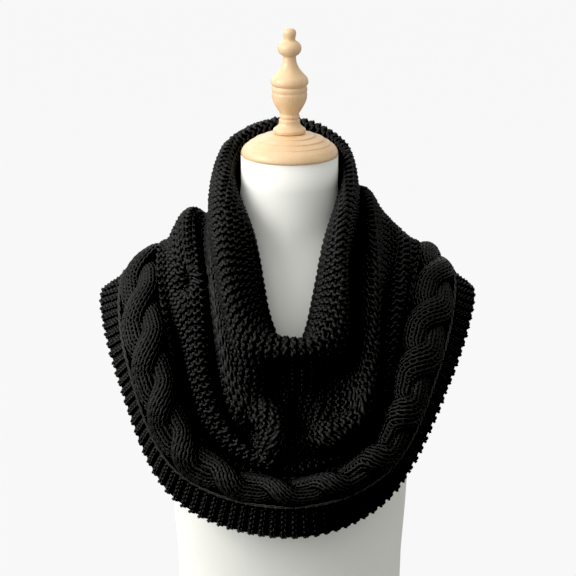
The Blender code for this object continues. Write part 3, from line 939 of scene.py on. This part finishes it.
def rounded_profile(profile):
    """A profile with more points, on a curve through its own."""
    points = np.array(profile)
    last = len(points) - 1
    fine = [points[0]]
    for n in range(last):
        four = [points[max(n - 1, 0)], points[n], points[n + 1], points[min(n + 2, last)]]
        for part in BETWEEN:
            if n >= last - STRAIGHT_SPANS:
                fine.append(points[n] + (points[n + 1] - points[n]) * part)
            else:
                weights = curve_weights(np.float64(part), rounding=0.0)
                fine.append(sum(weight * point for weight, point in zip(weights, four)))
    fine = np.array(fine)
    fine[:, 0] = np.maximum(fine[:, 0], 0)
    return fine


print("points in the rounded finial:", len(rounded_profile(FINIAL_PROFILE)))

# %% Spin the cap and the finial
TURN_STEPS = 96  # round the axis
JOIN_WITHIN = 0.01 * MM
SHARP_EDGE = math.radians(50)


def turned_piece(name, profile, base):
    """A profile spun round the vertical axis, with its seat at a height."""
    fine = rounded_profile(profile)
    mesh = bpy.data.meshes.new(name)
    edges = [(n, n + 1) for n in range(len(fine) - 1)]
    mesh.from_pydata([(radius * MM, 0, height * MM + base) for radius, height in fine], edges, [])
    thing = bpy.data.objects.new(name, mesh)
    bpy.context.scene.collection.objects.link(thing)
    screw = thing.modifiers.new("spin", "SCREW")
    screw.steps = screw.render_steps = TURN_STEPS
    screw.use_merge_vertices = True
    screw.merge_threshold = JOIN_WITHIN
    bpy.context.view_layer.update()
    spun = bpy.data.meshes.new_from_object(thing.evaluated_get(bpy.context.evaluated_depsgraph_get()))
    thing.modifiers.clear()
    thing.data = spun
    spun.materials.clear()
    spun.materials.append(beech)
    spun.shade_smooth()
    spun.set_sharp_from_angle(angle=SHARP_EDGE)
    return thing


cap = turned_piece("turned_cap", CAP_PROFILE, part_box("neck_cap")[0].z)
finial = turned_piece("turned_finial", FINIAL_PROFILE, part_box("finial")[0].z)
print("cap and finial:", len(cap.data.polygons), len(finial.data.polygons), "faces")

# %% [markdown]
# Now the pieces are tied to the part: each moves with its root, and the solid of the part that it stands for
# is hidden. For each cloth sheet, the size it was cut to before it was worn is worked out and printed. It is
# a closed tube, so its flat length is its longest girth, and its flat width is its area over that length.

# %% Tie the pieces to the part
STAND = (
    # piece, replaces, slot
    (torso, "dress_form", "form_cover"),
    (cap, "neck_cap", "turned_wood"),
    (finial, "finial", "turned_wood"),
)
for thing in (*sheets.values(), *yarn.values()):
    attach(thing, "root")
for thing, node, slot in STAND:
    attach(thing, "root")
    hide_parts(node)
for name, start, end, _, rests_on in SHEETS:
    longest = girth[cells_between(start, end)].max()
    flat = (round(area_between(start, end) / longest, 3), round(longest, 3))
    print(name, "was cut %.3f by %.3f m" % flat)

# %% [markdown]
# A plain studio. The floor and the surround look almost white to the camera, while the light that they give
# the object is set apart from that: the floor is a mid grey to every other ray, so that it doesn't brighten
# the shawl from below, and the surround is brighter on the left than on the right.

# %% Floor
SEEN_WHITE = 0.965
FLOOR_GLOW = 0.96  # how much of the floor's look is its own glow and not the light on it
FLOOR_HALF = 9.0
floor_corners = [(FLOOR_HALF * x, FLOOR_HALF * y, 0) for x, y in ((-1, -1), (1, -1), (1, 1), (-1, 1))]
floor_mesh = bpy.data.meshes.new("floor")
floor_mesh.from_pydata(floor_corners, [], [(0, 1, 2, 3)])
floor = bpy.data.objects.new("floor", floor_mesh)
bpy.context.scene.collection.objects.link(floor)
floor_paint, tree, shader = new_material("pale_floor", Roughness=0.9, Base_Color=linear("#8e8e8e"))
ray = add_node(tree, "LightPath").outputs["Is Camera Ray"]
glow = add_node(tree, "Emission", {"Color": (1, 1, 1, 1), "Strength": SEEN_WHITE})
share = add_node(tree, "Math", {0: ray, 1: FLOOR_GLOW}, operation="MULTIPLY")
both = add_node(tree, "MixShader", {0: share.outputs[0], 1: shader.outputs[0], 2: glow.outputs[0]})
tree.links.new(both.outputs[0], tree.nodes["Material Output"].inputs[0])
floor_mesh.materials.append(floor_paint)
print("floor %.0f m wide" % (2 * FLOOR_HALF))

# %% Surround
AMBIENT = 0.83
AMBIENT_LEFT, AMBIENT_RIGHT = 1.30, 0.50
world = bpy.data.worlds.new("surround")
bpy.context.scene.world = world
world.use_nodes = True
tree = world.node_tree
surround = tree.nodes["Background"]
surround.inputs["Color"].default_value = (1, 1, 1, 1)
sides = add_node(tree, "SeparateXYZ", {0: add_node(tree, "TexCoord").outputs["Generated"]})
strengths = {3: AMBIENT * AMBIENT_LEFT, 4: AMBIENT * AMBIENT_RIGHT}
dim = add_node(tree, "MapRange", {0: sides.outputs[0], 1: -1.0, 2: 1.0, **strengths})
tree.links.new(dim.outputs[0], surround.inputs["Strength"])
seen = add_node(tree, "Background", {"Color": (1, 1, 1, 1), "Strength": SEEN_WHITE})
ray = add_node(tree, "LightPath").outputs["Is Camera Ray"]
both = add_node(tree, "MixShader", {0: ray, 1: surround.outputs[0], 2: seen.outputs[0]})
tree.links.new(both.outputs[0], tree.nodes["World Output"].inputs[0])
print("surround strength %.2f on the left, %.2f on the right" % tuple(strengths.values()))

# %% [markdown]
# Black knit shows its stitches only when light rakes across them, so the main light is large and stands far
# to the left. Three weak ones, at the right, above and behind, keep the edges from going flat.

# %% Lights
SHAWL = (0, 0, 0.5)
LIGHTS = (
    # name, place, size in metres, power in watts
    ("key", (-2.8, -1.2, 1.9), 2.0, 80),
    ("fill", (2.7, 0.0, 0.8), 1.6, 5),
    ("top", (-0.7, -0.6, 3.3), 2.0, 12),
    ("back", (-1.0, 2.6, 2.2), 2.6, 14),
)


def soft_light(name, place, size, power):
    """A square lamp that faces the shawl."""
    data = bpy.data.lights.new(name, "AREA")
    data.size = size
    data.energy = power
    thing = bpy.data.objects.new(name, data)
    thing.location = place
    x, y, z = np.array(SHAWL) - np.array(place)
    thing.rotation_euler = (math.atan2(math.hypot(x, y), -z), 0, math.atan2(x, -y) + math.pi)
    bpy.context.scene.collection.objects.link(thing)


for light in LIGHTS:
    soft_light(*light)
print("lights:", [light[0] for light in LIGHTS])

# %% [markdown]
# The camera looks down a little from far away, so the shawl shows almost without perspective. The picture's
# black point is raised slightly, which prints the deepest gaps between the folds as real black.

# %% Camera
ELEVATION = math.radians(14)
DISTANCE = 6.0
VIEW_WIDTH = 0.68544  # metres across the picture at the shawl
SENSOR = 36  # mm
AIM = np.array((-0.001785, 0, 0.56096))  # metres
FAR_CLIP = 60
BLACK_POINT = 0.012
camera_data = bpy.data.cameras.new("camera")
camera_data.lens = SENSOR * DISTANCE / VIEW_WIDTH
camera_data.clip_end = FAR_CLIP
camera = bpy.data.objects.new("camera", camera_data)
camera.location = AIM + DISTANCE * np.array((0, -math.cos(ELEVATION), math.sin(ELEVATION)))
camera.rotation_euler = (math.pi / 2 - ELEVATION, 0, 0)
bpy.context.scene.collection.objects.link(camera)
bpy.context.scene.camera = camera
look = bpy.context.scene.view_settings
look.view_transform = "Standard"
look.use_curve_mapping = True
look.curve_mapping.black_level = (BLACK_POINT,) * 3
look.curve_mapping.update()
print("lens %.0f mm at %.1f m" % (camera_data.lens, DISTANCE))
